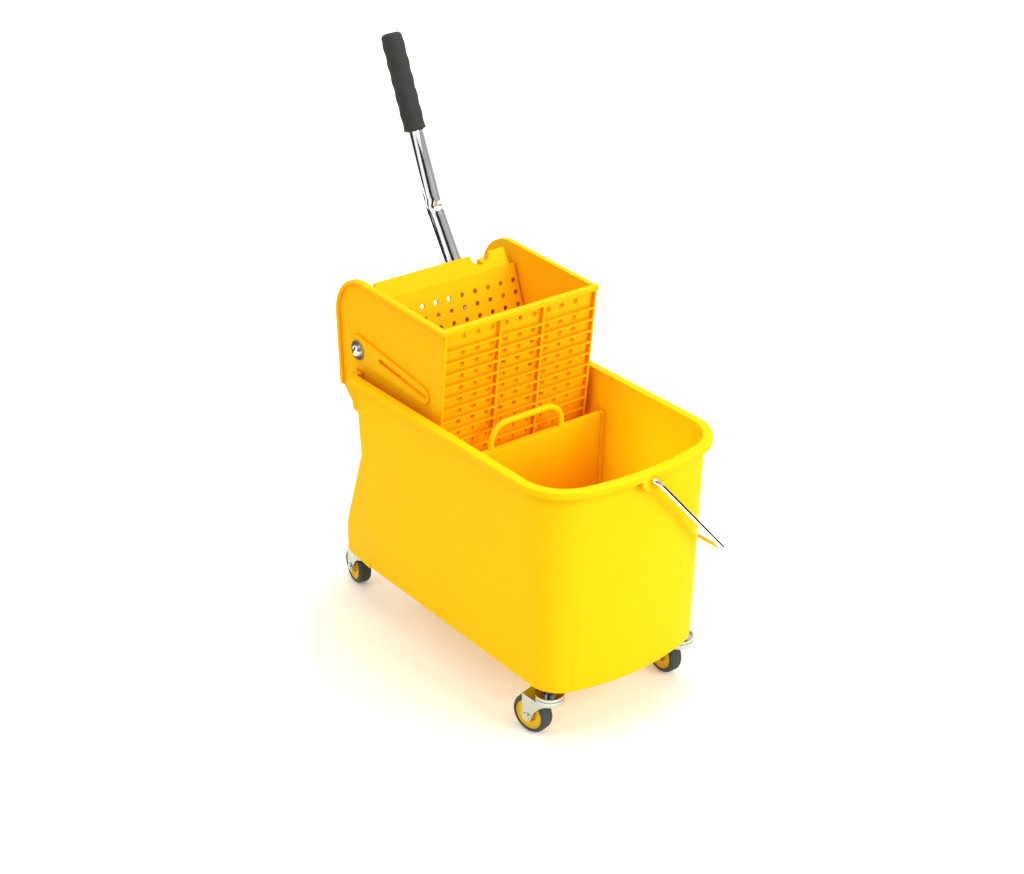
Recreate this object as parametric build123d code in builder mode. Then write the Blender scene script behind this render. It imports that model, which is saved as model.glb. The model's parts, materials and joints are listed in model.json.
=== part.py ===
from build123d import *
from math import acos, asin, cos, degrees, radians, sin, sqrt, tan
import os

# Mop bucket on casters, with a lever wringer hooked over its rear end, a drop-in divider and a wire bail.
# Millimetres. +X is the bowed front, +Z is up, the origin is the floor midway between the four casters.

# Tub
rim_length = 428
rim_width = 270
tub_height = 277
wall = 3
floor_thickness = 4
rim_overhang = 9
rim_skirt = 8
rim_thickness = 3
rim_lip = 2.5
rim_round = 2.4
front_bow = 368
front_corner = 67
rear_corner = 16
side_draft = 8
front_draft = 8.5
rear_draft = 3
base_bow = 300
base_corner = 40
base_rear_corner = 12
base_round = 5
least_round = 2
panel_length = 230
panel_side = 45
panel_rise = 1.5
panel_corner = 20

# Rear feet
foot_width = 56
foot_inset = 0.5
foot_taper = 6
foot_rise = 190
foot_knee_rise = 62
foot_knee_reach = 32
foot_reach = 56
foot_knee_round = 70
foot_round = 24

# Casters
front_inset = 55
rear_outset = 38
front_stem_inset = 16.5
rear_stem_inset = 30.5
wheel_diameter = 50
wheel_width = 18
trail = 25
tyre_depth = 6
tyre_round = 5
tread_groove = 1.2
tread_depth = 0.6
tread_place = 2.4
hub_wall = 1.8
hub_dish = 1.2
hub_eye = 9.5
hub_eye_depth = 4
hub_boss = 6
axle_diameter = 6
axle_head = 5
axle_head_height = 2
axle_head_taper = 20
sheet = 2
cheek_width = 14
web_reach = 9
web_radius = 42
fork_clearance = 3
cheek_gap = 1.4
race_radius = 18
race_rise = 3.9
race_gap = 0.8
cap_rise = 4
collar_radius = 9
collar_rise = 5.2
kingpin_diameter = 8
kingpin_head = 6.5
kingpin_head_height = 1.6
stem_diameter = 10
stem_length = 21
stem_socket_wall = 3.5

# Divider
divider_place = 196
divider_thickness = 4
divider_sink = 50
divider_bead = 7
divider_bead_height = 6
loop_span = 107
loop_rise = 31
loop_bar = 8
loop_corner = 24
rail_depth = 6
rail_width = 2.5

# Wringer body
wringer_gap = 10.5
plate = 3.5
hopper_length = 185.5
hopper_rise = 117
hopper_drop = 81
front_lean = 0.11
back_round = 57
back_rise = 66
back_overhang = 39
back_tuck = 3.5
back_drop = 31
tab_drop = 62
tab_shoulder = 50
tab_reach = 16
tab_taper = 2
bottom_place = 37
bead = 5
bead_height = 5
bead_round = 2.2
flange = 5
boss_height = 2.5
boss_radius = 17
boss_lift = 2.7
boss_nose = 11
boss_nose_inset = 8
slot_width = 6
rib_thickness = 2.6
rib_depth = 5
rib_pitch = 15.7
rib_margin = 10
first_rib = 28
upright_place = 32
front_hole = 7
front_hole_pitch = 20.8
front_hole_margin = 24
upright_width = 3
beam_thickness = 4
beam_inset = 3
beam_panel_rise = 26
beam_drop = 46
drain_width = 7
drain_margin = 20
drain_pitch = 22
drain_side_margin = 18

# Press plate and drive
pivot_place = 7
pivot_rise = 29.4
slide_drop = 7.05
slot_lift = 8
slot_start = 44
slot_spare = 4.5
shoe_length = 40
shoe_root = 8
press_lean = 19
press_crease_place = 33
press_crease_rise = 99
press_height = 168
press_gap = 2
press_edge = 7
press_hole = 6.5
press_hole_pitch = 20
press_row_pitch = 15.8
press_margin = 6
first_row = 21
last_row_margin = 15
lip_lean = 31
lip_height = 23
lip_inset = 9
lip_round = 8
notch_gap = 5
crank = 50
crank_start = -25
lever_swing = 70
pin_diameter = 10
lug_thickness = 8
channel_rim = 4.5
arm_thickness = 8
arm_inset = 11
shaft_radius = 11
shaft_hub = 15

# Lever
lever_inset = 38
tube_diameter = 19
tube_wall = 1.5
lever_lean = 33
lever_bend = 147
upper_lean = 23.6
upper_length = 225
bend_radius = 26
lever_socket_wall = 5.5
socket_length = 62
socket_floor = 14
screw_place = 42
screw_diameter = 6
screw_head_height = 4
grip_length = 125
grip_wall = 4
grip_waves = 7
grip_groove = 1.6
grip_cap = 4

# Pivot hardware
bolt_diameter = 10
bolt_head = 7
bolt_head_height = 6
bolt_head_edge = 2.5
washer_radius = 12.5
washer_thickness = 2
nut_radius = 9
nut_height = 5
stub_length = 17

# Bail
wire = 6
wire_bend = 6.6
lug_radius = 14.5
bail_lug = 6
bail_drop = 9
bail_stand = 0.8
bail_elbow = 8
bail_reach = 186
bail_knee = 54
bail_arch = 8
bail_front_draw = 9
bail_rear_spread = 16

# Clearances
running_gap = 0.05
seat_gap = 0.3
slide_gap = 0.3
near_gap = 1

# Places worked out from the sizes above
wheelbase = rim_length - front_inset + rear_outset
rim_back = rear_outset - wheelbase / 2
rim_front = rim_back + rim_length
rim_band = rim_overhang + wall
base_width = rim_width - 2 * (rim_overhang + side_draft)
front_stem = base_width / 2 - front_stem_inset
rear_stem = base_width / 2 - rear_stem_inset
fork_top = wheel_diameter + fork_clearance
race_top = fork_top + sheet + race_rise
cap_bottom = race_top + race_gap
tub_bottom = cap_bottom + cap_rise + collar_rise
tub_floor = tub_bottom + floor_thickness
rim_top = tub_bottom + tub_height
hopper_half = rim_width / 2 - rim_band - wringer_gap
hopper_inner = hopper_half - plate
pivot = (rim_back + pivot_place, rim_top + pivot_rise)
slide = (cos(radians(slide_drop)), -sin(radians(slide_drop)))
lift = (-slide[1], slide[0])
press_half = hopper_inner - press_gap
bail_height = rim_top - bail_drop
divider_x = rim_back + divider_place
shaft_end = hopper_inner - nut_height - seat_gap
bore_radius = bolt_diameter / 2 + running_gap
arm_place = hopper_inner - arm_inset
lever_place = arm_place - lever_inset

# The press plate moves in step with the lever, while a crank pin's path along the slide is a sine:
# the slot round the pin leaves room for the most that the two differ by.
press_travel = crank * (sin(radians(crank_start + lever_swing)) - sin(radians(crank_start)))
travel_rate = press_travel / radians(lever_swing)
widest = acos(travel_rate / crank)
pin_stray = crank * (sin(widest) - sin(radians(crank_start))) - travel_rate * (widest - radians(crank_start))
slot_length = shoe_length + press_travel + slot_spare


def pattern_count(span, pitch):
    """How many features of a pattern a span takes."""
    return int(span / pitch) + 1


def side_plane(distance):
    """Plane facing the right side, with its axes along the world's X and Z."""
    return Plane.XZ.offset(distance)


def slide_plane(distance):
    """Plane facing the right side, its origin on the pivot and its x axis along the press plate's slide."""
    origin = (pivot[0], -distance, pivot[1])
    return Plane(origin=origin, x_dir=(slide[0], 0, slide[1]), z_dir=(0, -1, 0))


def tub_plan(half_width, back, front, bow, corner, rear):
    """Plan of the tub: straight sides, a bowed front with round corners and a square back."""
    bow_x = front - bow
    corner_y = half_width - corner
    corner_x = bow_x + sqrt((bow - corner) ** 2 - corner_y**2)
    turn = degrees(asin(corner_y / (bow - corner)))
    rear_x = back + rear
    rear_y = half_width - rear
    with BuildSketch() as plan:
        with BuildLine():
            Line((rear_x, -half_width), (corner_x, -half_width))
            CenterArc((corner_x, -corner_y), corner, -90, 90 - turn)
            CenterArc((bow_x, 0), bow, -turn, 2 * turn)
            CenterArc((corner_x, corner_y), corner, turn, 90 - turn)
            Line((corner_x, half_width), (rear_x, half_width))
            CenterArc((rear_x, rear_y), rear, 90, 90)
            Line((back, rear_y), (back, -rear_y))
            CenterArc((rear_x, -rear_y), rear, 180, 90)
        make_face()
    return plan.sketch


def rim_plan(inset):
    """Plan at the rim, inset from its outer edge."""
    return tub_plan(
        rim_width / 2 - inset,
        rim_back + inset,
        rim_front - inset,
        front_bow - inset,
        front_corner - inset,
        max(rear_corner - inset, least_round),
    )


def base_plan(inset):
    """Plan at the underside, inset from the outer wall."""
    return tub_plan(
        base_width / 2 - inset,
        rim_back + rim_overhang + rear_draft + inset,
        rim_front - rim_overhang - front_draft - inset,
        base_bow - inset,
        base_corner - inset,
        max(base_rear_corner - inset, least_round),
    )


def drafted_form(inset):
    """Solid between the underside and the rim, inset from the outer wall."""
    with BuildPart() as form:
        with BuildSketch(Plane.XY.offset(tub_bottom)):
            add(base_plan(inset))
        with BuildSketch(Plane.XY.offset(rim_top)):
            add(rim_plan(rim_overhang + inset))
        loft(ruled=True)
    return form


def inner_half_width(height):
    """Half the tub's clear width at a height."""
    share = (height - tub_bottom) / tub_height
    return base_width / 2 - wall + side_draft * share


def rear_foot(side, inset):
    """One rear foot behind the back wall, or the hollow inside it, which runs out below."""
    front = rim_back + rim_band + rear_draft + wall - 2 * inset
    outer = base_width / 2 - foot_inset - inset
    inner = outer - foot_width + 2 * inset
    back = rim_back - foot_reach + inset
    bottom = tub_bottom - inset
    with BuildPart() as foot:
        with BuildSketch(Plane.XY.offset(bottom)):
            with BuildLine():
                Polyline(
                    (front, side * outer),
                    (back, side * (outer - foot_taper)),
                    (back, side * inner),
                    (front, side * inner),
                    close=True,
                )
            make_face()
            fillet(vertices().group_by(Axis.X)[0], foot_round - inset)
        extrude(amount=foot_rise)
        with BuildSketch(side_plane(-rim_width)):
            with BuildLine():
                Polyline(
                    (front, tub_bottom + foot_rise - 2 * inset),
                    (rim_back - foot_knee_reach + inset, tub_bottom + foot_knee_rise - inset / 2),
                    (back, bottom),
                    (front, bottom),
                    close=True,
                )
            make_face()
            fillet(vertices().sort_by(Axis.X)[1], foot_knee_round)
        extrude(amount=2 * rim_width, mode=Mode.INTERSECT)
    return foot


# Each caster's stem, and the angle at which the caster has come to rest.
caster_places = {
    "front_right": (wheelbase / 2, -front_stem, 13),
    "front_left": (wheelbase / 2, front_stem, 0),
    "rear_right": (-wheelbase / 2, -rear_stem, -9),
    "rear_left": (-wheelbase / 2, rear_stem, 15),
}
stem_places = [(x, y) for x, y, angle in caster_places.values()]
stem_socket_radius = stem_diameter / 2 + stem_socket_wall
stem_socket_height = stem_length + stem_socket_wall

# Tub

with BuildPart() as rails:
    rail_offset = divider_thickness / 2 + slide_gap + rail_width / 2
    rail_height = tub_height - divider_sink
    with Locations(*[(divider_x + side * rail_offset, 0, tub_bottom) for side in (-1, 1)]):
        Box(rail_width, rim_width, rail_height, align=(Align.CENTER, Align.CENTER, Align.MIN))
    add(drafted_form(wall + rail_depth).part, mode=Mode.SUBTRACT)

with BuildPart() as hollow:
    add(drafted_form(wall).part)
    with Locations((0, 0, tub_bottom)):
        Box(
            3 * rim_length,
            2 * rim_width,
            floor_thickness,
            align=(Align.CENTER, Align.CENTER, Align.MIN),
            mode=Mode.SUBTRACT,
        )
    with Locations(*[(x, y, tub_bottom) for x, y in stem_places]):
        Cylinder(
            stem_socket_radius,
            stem_socket_height,
            align=(Align.CENTER, Align.CENTER, Align.MIN),
            mode=Mode.SUBTRACT,
        )
    add(rails.part, mode=Mode.SUBTRACT)

with BuildPart() as tub:
    add(drafted_form(0).part)
    fillet(tub.faces().sort_by(Axis.Z)[0].edges(), base_round)
    # Panel proud of the bottom, between the casters, on which the tub stands when they are off.
    with BuildSketch(Plane.XY.offset(tub_bottom)):
        RectangleRounded(panel_length, base_width - 2 * panel_side, panel_corner)
    extrude(amount=-panel_rise)
    # Rear feet: hollow wedges behind the back wall.
    for side in (-1, 1):
        add(rear_foot(side, 0).part)
        add(rear_foot(side, wall).part, mode=Mode.SUBTRACT)
    add(hollow.part, mode=Mode.SUBTRACT)
    # Turned-over rim.
    with BuildSketch(Plane.XY.offset(rim_top)):
        add(rim_plan(0))
        add(rim_plan(rim_band), mode=Mode.SUBTRACT)
    extrude(amount=-rim_skirt)
    fillet(tub.faces().sort_by(Axis.Z)[-1].outer_wire().edges(), rim_round)
    with BuildSketch(Plane.XY.offset(rim_top - rim_skirt)):
        add(rim_plan(rim_lip))
        add(rim_plan(rim_overhang), mode=Mode.SUBTRACT)
    extrude(amount=rim_skirt - rim_thickness, mode=Mode.SUBTRACT)
    # Sockets in the rear feet, then the bores for all four stems.
    with Locations(*[(x, y, tub_bottom) for x, y in stem_places if x < 0]):
        Cylinder(stem_socket_radius, stem_socket_height, align=(Align.CENTER, Align.CENTER, Align.MIN))
    with Locations(*[(x, y, tub_bottom) for x, y in stem_places]):
        Cylinder(
            stem_diameter / 2 + running_gap,
            stem_length + seat_gap,
            align=(Align.CENTER, Align.CENTER, Align.MIN),
            mode=Mode.SUBTRACT,
        )
    # Half-round lugs for the bail, hung under the rim at both ends, and a hole through each and the skirt.
    lug_spots = (
        (rim_front - near_gap - bail_lug, rim_front - rim_overhang),
        (rim_back + near_gap, rim_back),
    )
    for lug_x, hole_x in lug_spots:
        with BuildSketch(Plane.YZ.offset(lug_x)):
            with Locations((0, bail_height)):
                Circle(lug_radius)
                Rectangle(2 * lug_radius, bail_drop - rim_thickness / 2, align=(Align.CENTER, Align.MIN))
            with Locations((0, rim_top - rim_thickness / 2)):
                Rectangle(2 * lug_radius, lug_radius, align=(Align.CENTER, Align.MIN), mode=Mode.SUBTRACT)
        extrude(amount=bail_lug)
        with BuildSketch(Plane.YZ.offset(hole_x)):
            with Locations((0, bail_height)):
                Circle(wire / 2 + running_gap)
        extrude(amount=rim_overhang, mode=Mode.SUBTRACT)

# Divider: a plate between the rails, with a thick top edge and a loop handle.

divider_bottom = tub_floor + seat_gap
divider_top = rim_top - divider_sink
bead_bottom = divider_top - divider_bead_height

with BuildPart() as divider:
    foot_half = inner_half_width(divider_bottom) - near_gap
    top_half = inner_half_width(divider_top) - near_gap
    shoulder_half = top_half - rail_depth
    with BuildSketch(Plane.YZ.offset(divider_x - divider_thickness / 2)):
        with BuildLine():
            Polyline(
                (-foot_half, divider_bottom),
                (foot_half, divider_bottom),
                (top_half, divider_top),
                (-top_half, divider_top),
                close=True,
            )
        make_face()
    extrude(amount=divider_thickness)
    with Locations((divider_x, 0, bead_bottom)):
        Box(
            divider_bead,
            2 * shoulder_half,
            divider_bead_height,
            align=(Align.CENTER, Align.CENTER, Align.MIN),
        )
    with BuildLine(Plane.YZ.offset(divider_x)) as loop_path:
        FilletPolyline(
            (-loop_span / 2, bead_bottom),
            (-loop_span / 2, divider_top + loop_rise),
            (loop_span / 2, divider_top + loop_rise),
            (loop_span / 2, bead_bottom),
            radius=loop_corner,
        )
    with BuildSketch(Plane(loop_path.wire() @ 0, x_dir=(1, 0, 0), z_dir=loop_path.wire() % 0)):
        Circle(loop_bar / 2)
    sweep(path=loop_path.wire())

# Wringer body: two side plates, a ribbed and perforated front wall, a slotted bottom and a rear beam.

hopper_front = rim_back + hopper_length
hopper_top = rim_top + hopper_rise
hopper_bottom = rim_top - hopper_drop
hopper_height = hopper_rise + hopper_drop
back_edge = rim_back - back_overhang
arc_x = back_edge + back_round
arc_z = rim_top + back_rise
hook_x = rim_back + rim_band + near_gap
front_bottom = hopper_front - front_lean * hopper_height
bottom_back = rim_back + bottom_place
front_plane = Plane(origin=(hopper_front, 0, hopper_top), x_dir=(0, 1, 0), z_dir=(1, 0, -front_lean))
slope = sqrt(1 + front_lean**2)
rib_count = pattern_count(hopper_height - first_rib - rib_margin, rib_pitch)
rib_rows = [-slope * (first_rib + rib_pitch * row) for row in range(rib_count)]
front_hole_columns = pattern_count(2 * (hopper_half - front_hole_margin), front_hole_pitch)
hole_rows = [-slope * first_rib / 2] + [y - slope * rib_pitch / 2 for y in rib_rows[:-1]]


def wringer_side():
    """Outline of a side plate: round back corner, a tab behind the rim, a notch over it and the hopper."""
    with BuildSketch() as outline:
        with BuildLine():
            Line((hopper_front, hopper_top), (arc_x, arc_z + back_round))
            CenterArc((arc_x, arc_z), back_round, 90, 90)
            Polyline(
                (back_edge, arc_z),
                (back_edge + back_tuck, rim_top - back_drop),
                (rim_back - tab_reach, rim_top - tab_shoulder),
                (rim_back - tab_reach + tab_taper, rim_top - tab_drop + tab_taper),
                (rim_back - near_gap, rim_top - tab_drop),
                (rim_back - near_gap, rim_top + near_gap),
                (hook_x, rim_top + near_gap),
                (hook_x, rim_top - beam_drop),
                (bottom_back, hopper_bottom),
                (front_bottom, hopper_bottom),
                (hopper_front, hopper_top),
            )
        make_face()
    return outline.sketch


with BuildPart() as wringer_body:
    with BuildSketch(side_plane(hopper_inner)):
        add(wringer_side())
    extrude(amount=plate)
    # Bead along the top and back edges.
    with BuildSketch(side_plane(hopper_half)):
        with BuildLine():
            Line((hopper_front, hopper_top - bead / 2), (arc_x, arc_z + back_round - bead / 2))
            CenterArc((arc_x, arc_z), back_round - bead / 2, 90, 90)
            Line(
                (back_edge + bead / 2, arc_z),
                (back_edge + back_tuck + bead / 2, rim_top - back_drop),
            )
        trace(line_width=bead)
    extrude(amount=bead_height)
    fillet(wringer_body.faces().sort_by(Axis.Y)[0].edges(), bead_round)
    # Raised boss round the pivot and the slot.
    with BuildSketch(slide_plane(hopper_half)):
        with Locations((0, boss_lift)):
            Circle(boss_radius)
        with Locations((slot_start + slot_length - boss_nose_inset, slot_lift)):
            Circle(boss_nose)
        make_hull()
    extrude(amount=boss_height)
    with BuildSketch(slide_plane(hopper_inner)):
        with Locations((slot_start + slot_length / 2, slot_lift)):
            SlotOverall(slot_length, slot_width)
        Circle(bore_radius)
    extrude(amount=plate + boss_height, mode=Mode.SUBTRACT)
    mirror(about=Plane.XZ)
    # Front wall with its lattice of ribs.
    with BuildSketch(front_plane):
        with Locations((0, -slope * hopper_height / 2)):
            Rectangle(2 * hopper_half, slope * hopper_height)
    extrude(amount=-plate)
    with BuildSketch(front_plane):
        with Locations(*[(0, y) for y in rib_rows]):
            Rectangle(2 * hopper_half, rib_thickness)
        upright_edge = hopper_half - upright_width / 2
        upright_xs = (-upright_edge, -upright_place, upright_place, upright_edge)
        upright_length = -rib_rows[-1] + rib_thickness / 2
        with Locations(*[(x, -upright_length / 2) for x in upright_xs]):
            Rectangle(upright_width, upright_length)
    extrude(amount=rib_depth)
    with BuildSketch(front_plane):
        with Locations(*[(0, y) for y in hole_rows]):
            with GridLocations(front_hole_pitch, 1, front_hole_columns, 1):
                Circle(front_hole / 2)
    extrude(amount=-plate, mode=Mode.SUBTRACT)
    # Top rail across the front.
    with BuildSketch(Plane.XY.offset(hopper_top)):
        with Locations((hopper_front - plate, 0)):
            Rectangle(plate + flange, 2 * (hopper_half + bead_height), align=(Align.MIN, Align.CENTER))
        fillet(vertices().group_by(Axis.X)[-1], flange)
    extrude(amount=-bead)
    # Bottom with drain slots.
    with BuildSketch(Plane.XY.offset(hopper_bottom)):
        with Locations(((bottom_back + front_bottom) / 2, 0)):
            bottom_length = front_bottom - bottom_back
            Rectangle(bottom_length, 2 * hopper_inner)
            drain_count = pattern_count(2 * (hopper_inner - drain_side_margin), drain_pitch)
            with GridLocations(1, drain_pitch, 1, drain_count):
                Rectangle(bottom_length - 2 * drain_margin, drain_width, mode=Mode.SUBTRACT)
    extrude(amount=plate)
    # Rear beam: a channel over the rim, between the side plates.
    with BuildSketch(side_plane(-hopper_inner)):
        panel_x = back_edge + beam_inset
        beam_bottom = rim_top + seat_gap
        beam_top = beam_bottom + beam_thickness
        with BuildLine():
            Polyline(
                (panel_x, rim_top - back_drop),
                (panel_x, rim_top + beam_panel_rise),
                (panel_x + plate, rim_top + beam_panel_rise),
                (panel_x + plate, beam_top),
                (hook_x + plate, beam_top),
                (hook_x + plate, rim_top - beam_drop),
                (hook_x, rim_top - beam_drop),
                (hook_x, beam_bottom),
                (panel_x + plate, beam_bottom),
                (panel_x + plate, rim_top - back_drop),
                close=True,
            )
        make_face()
    extrude(amount=2 * hopper_inner)

# Press plate: perforated, with a leaning lip, guide shoes at its sides and slotted lugs behind it.

crease = (rim_back + press_crease_place, rim_top + press_crease_rise)
press_plane = Plane(
    origin=(crease[0], 0, crease[1]),
    x_dir=(0, 1, 0),
    z_dir=(cos(radians(press_lean)), 0, sin(radians(press_lean))),
)
lip_plane = Plane(
    origin=(crease[0], 0, crease[1]),
    x_dir=(0, 1, 0),
    z_dir=(cos(radians(lip_lean)), 0, sin(radians(lip_lean))),
)
tilt = tan(radians(press_lean + slide_drop))
crease_u = (crease[0] - pivot[0]) * slide[0] + (crease[1] - pivot[1]) * slide[1]
crease_v = (crease[0] - pivot[0]) * lift[0] + (crease[1] - pivot[1]) * lift[1]
pin_rest = (crank * sin(radians(crank_start)), crank * cos(radians(crank_start)))
channel_width = pin_diameter + pin_stray + 2 * slide_gap
channel_u = pin_rest[0] + pin_stray / 2
channel_top = crank + pin_diameter / 2 + near_gap
channel_bottom = crank * cos(radians(crank_start + lever_swing)) - pin_diameter / 2 - near_gap
lug_place = arm_place - arm_thickness / 2 - lug_thickness - press_gap
shoe_half = slot_width / 2 - slide_gap
press_columns = pattern_count(2 * (press_half - press_margin), press_hole_pitch)
press_rows = pattern_count(press_height - first_row - last_row_margin, press_row_pitch)


def press_face(v):
    """Place of the press plate's front face along the slide, at a height over the pivot's line."""
    return crease_u + (crease_v - v) * tilt


def press_lug():
    """Profile of a slotted lug, from the plate's back to behind the crank pin."""
    back = channel_u - channel_width / 2 - channel_rim
    top = channel_top + channel_rim
    bottom = channel_bottom - channel_rim
    with BuildSketch() as profile:
        with BuildLine():
            Polyline(
                (back, bottom),
                (press_face(bottom) - plate, bottom),
                (press_face(top) - plate, top),
                (back, top),
                close=True,
            )
        make_face()
        with Locations((channel_u, (channel_top + channel_bottom) / 2)):
            SlotOverall(channel_top - channel_bottom, channel_width, rotation=90, mode=Mode.SUBTRACT)
    return profile.sketch


with BuildPart() as press_plate:
    with BuildSketch(press_plane):
        with Locations((0, -press_height / 2)):
            Rectangle(2 * press_half, press_height)
        with Locations((0, -first_row - press_row_pitch * (press_rows - 1) / 2)):
            with GridLocations(press_hole_pitch, press_row_pitch, press_columns, press_rows):
                Circle(press_hole / 2, mode=Mode.SUBTRACT)
    extrude(amount=-plate)
    with BuildSketch(lip_plane):
        with Locations((0, lip_height / 2)):
            Rectangle(2 * (press_half - lip_inset), lip_height)
        fillet(vertices().group_by(Axis.Y)[-1], lip_round)
        with Locations((lever_place, lip_height)):
            Circle(tube_diameter / 2 + notch_gap, mode=Mode.SUBTRACT)
    extrude(amount=-plate)
    # Stiffening edges behind the plate.
    with BuildSketch(press_plane.offset(-plate)):
        edge_place = press_half - plate / 2
        with Locations(*[(x, -press_height / 2) for x in (-edge_place, edge_place)]):
            Rectangle(plate, press_height)
    extrude(amount=-press_edge)
    # Guide shoes, which run in the slots of the side plates.
    for turn in (1, -1):
        with BuildSketch(slide_plane(turn * (press_half - plate))):
            shoe_start = slot_start + slide_gap
            with Locations((shoe_start + shoe_length / 2, slot_lift)):
                Rectangle(shoe_length, shoe_root)
        extrude(amount=turn * plate)
        with BuildSketch(slide_plane(turn * press_half)):
            with Locations((shoe_start + shoe_length / 2, slot_lift)):
                SlotOverall(shoe_length, 2 * shoe_half)
        extrude(amount=turn * (press_gap + plate - near_gap))
    # Slotted lugs for the crank pins.
    for turn in (1, -1):
        with BuildSketch(slide_plane(turn * lug_place)):
            add(press_lug())
        extrude(amount=turn * lug_thickness)

# Lever: a shaft with two crank arms and a socket, the bent tube, its grip and its screw.

lever_line = (-sin(radians(lever_lean)), cos(radians(lever_lean)))
upper_line = (-sin(radians(upper_lean)), cos(radians(upper_lean)))


def along_lever(distance):
    """Point on the lever's lower run, at a distance from the pivot."""
    return (pivot[0] + distance * lever_line[0], lever_place, pivot[1] + distance * lever_line[1])


bend_point = along_lever(lever_bend)
lever_top = (
    bend_point[0] + upper_length * upper_line[0],
    lever_place,
    bend_point[2] + upper_length * upper_line[1],
)
lever_plane = Plane(
    origin=along_lever(0), x_dir=(0, 1, 0), z_dir=(lever_line[0], 0, lever_line[1])
)
tube_radius = tube_diameter / 2
socket_radius = tube_radius + lever_socket_wall
pin_radius = pin_diameter / 2

with BuildPart() as lever_shaft:
    with BuildSketch(slide_plane(-shaft_end)):
        Circle(shaft_radius)
    extrude(amount=2 * shaft_end)
    for turn in (1, -1):
        with BuildSketch(slide_plane(turn * arm_place - arm_thickness / 2)):
            Circle(shaft_hub)
            with Locations(pin_rest):
                Circle(pin_radius + channel_rim)
            make_hull()
            with Locations(pin_rest):
                Circle(pin_radius + running_gap, mode=Mode.SUBTRACT)
        extrude(amount=arm_thickness)
    with BuildSketch(lever_plane):
        Circle(socket_radius)
    extrude(amount=socket_length)
    with BuildSketch(slide_plane(-lever_place - socket_radius)):
        Circle(shaft_hub)
    extrude(amount=2 * socket_radius)
    with BuildSketch(lever_plane.offset(socket_floor)):
        Circle(tube_radius + running_gap)
    extrude(amount=socket_length, mode=Mode.SUBTRACT)
    with BuildSketch(side_plane(-lever_place - socket_radius)):
        with Locations((along_lever(screw_place)[0], along_lever(screw_place)[2])):
            Circle(screw_diameter / 2 + running_gap)
    extrude(amount=2 * socket_radius, mode=Mode.SUBTRACT)
    for turn in (1, -1):
        with BuildSketch(slide_plane(turn * shaft_end)):
            Circle(bore_radius)
        extrude(amount=-turn * (stub_length + near_gap), mode=Mode.SUBTRACT)

with BuildPart() as drive_pins:
    pin_reach = arm_thickness + press_gap + lug_thickness + near_gap
    for turn in (1, -1):
        with BuildSketch(slide_plane(turn * (arm_place + arm_thickness / 2))):
            with Locations(pin_rest):
                Circle(pin_radius)
        extrude(amount=-turn * pin_reach)

with BuildPart() as lever_tube:
    with BuildLine() as lever_path:
        FilletPolyline(along_lever(socket_floor), bend_point, lever_top, radius=bend_radius)
    with BuildSketch(lever_plane.offset(socket_floor)):
        Circle(tube_radius)
        Circle(tube_radius - tube_wall, mode=Mode.SUBTRACT)
    sweep(path=lever_path.wire())
    with BuildSketch(side_plane(-lever_place - tube_diameter)):
        with Locations((along_lever(screw_place)[0], along_lever(screw_place)[2])):
            Circle(screw_diameter / 2 + running_gap)
    extrude(amount=2 * tube_diameter, mode=Mode.SUBTRACT)

with BuildPart() as clamp_screw:
    with BuildSketch(side_plane(-lever_place - socket_radius)):
        with Locations((along_lever(screw_place)[0], along_lever(screw_place)[2])):
            Circle(screw_diameter / 2)
    extrude(amount=2 * socket_radius)
    for turn in (1, -1):
        with BuildSketch(side_plane(-lever_place + turn * socket_radius)):
            with Locations((along_lever(screw_place)[0], along_lever(screw_place)[2])):
                Circle(screw_diameter)
        extrude(amount=turn * screw_head_height)

grip_plane = Plane(
    origin=lever_top,
    x_dir=(upper_line[1], 0, -upper_line[0]),
    z_dir=(0, -1, 0),
)
grip_radius = tube_radius + grip_wall
wave = (grip_length - 2 * grip_cap) / grip_waves

with BuildPart() as lever_grip:
    with BuildSketch(grip_plane):
        with BuildLine():
            Line((0, running_gap), (tube_radius + running_gap, running_gap))
            Line((tube_radius + running_gap, running_gap), (tube_radius + running_gap, -grip_length))
            Line((tube_radius + running_gap, -grip_length), (grip_radius, -grip_length))
            Line((grip_radius, -grip_length), (grip_radius, -grip_length + grip_cap))
            for index in range(grip_waves):
                start = -grip_length + grip_cap + index * wave
                ThreePointArc(
                    (grip_radius, start),
                    (grip_radius - grip_groove, start + wave / 2),
                    (grip_radius, start + wave),
                )
            Line((grip_radius, -grip_cap), (grip_radius, 0))
            CenterArc((grip_radius - grip_cap, 0), grip_cap, 0, 90)
            Line((grip_radius - grip_cap, grip_cap), (0, grip_cap))
            Line((0, grip_cap), (0, running_gap))
        make_face()
    revolve(axis=Axis(lever_top, (upper_line[0], 0, upper_line[1])))

# Pivot bolts, washers and nuts, one set each side.

boss_face = hopper_half + boss_height
washer_face = boss_face + washer_thickness
dome = bolt_head_height - bolt_head_edge
dome_radius = (bolt_head**2 + dome**2) / (2 * dome)
dome_turn = degrees(asin(bolt_head / dome_radius))

with BuildPart() as pivot_bolts:
    for turn in (1, -1):
        head_origin = (pivot[0], -turn * washer_face, pivot[1])
        with BuildSketch(Plane(origin=head_origin, x_dir=(1, 0, 0), z_dir=(0, 0, turn))):
            with BuildLine():
                Line((0, 0), (bolt_head, 0))
                Line((bolt_head, 0), (bolt_head, -bolt_head_edge))
                CenterArc((0, dome_radius - bolt_head_height), dome_radius, 270, dome_turn)
                Line((0, -bolt_head_height), (0, 0))
            make_face()
        revolve(axis=Axis(head_origin, (0, 1, 0)))
        with BuildSketch(slide_plane(turn * (shaft_end - stub_length))):
            Circle(bolt_diameter / 2)
        extrude(amount=turn * (washer_face - shaft_end + stub_length))

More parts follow.
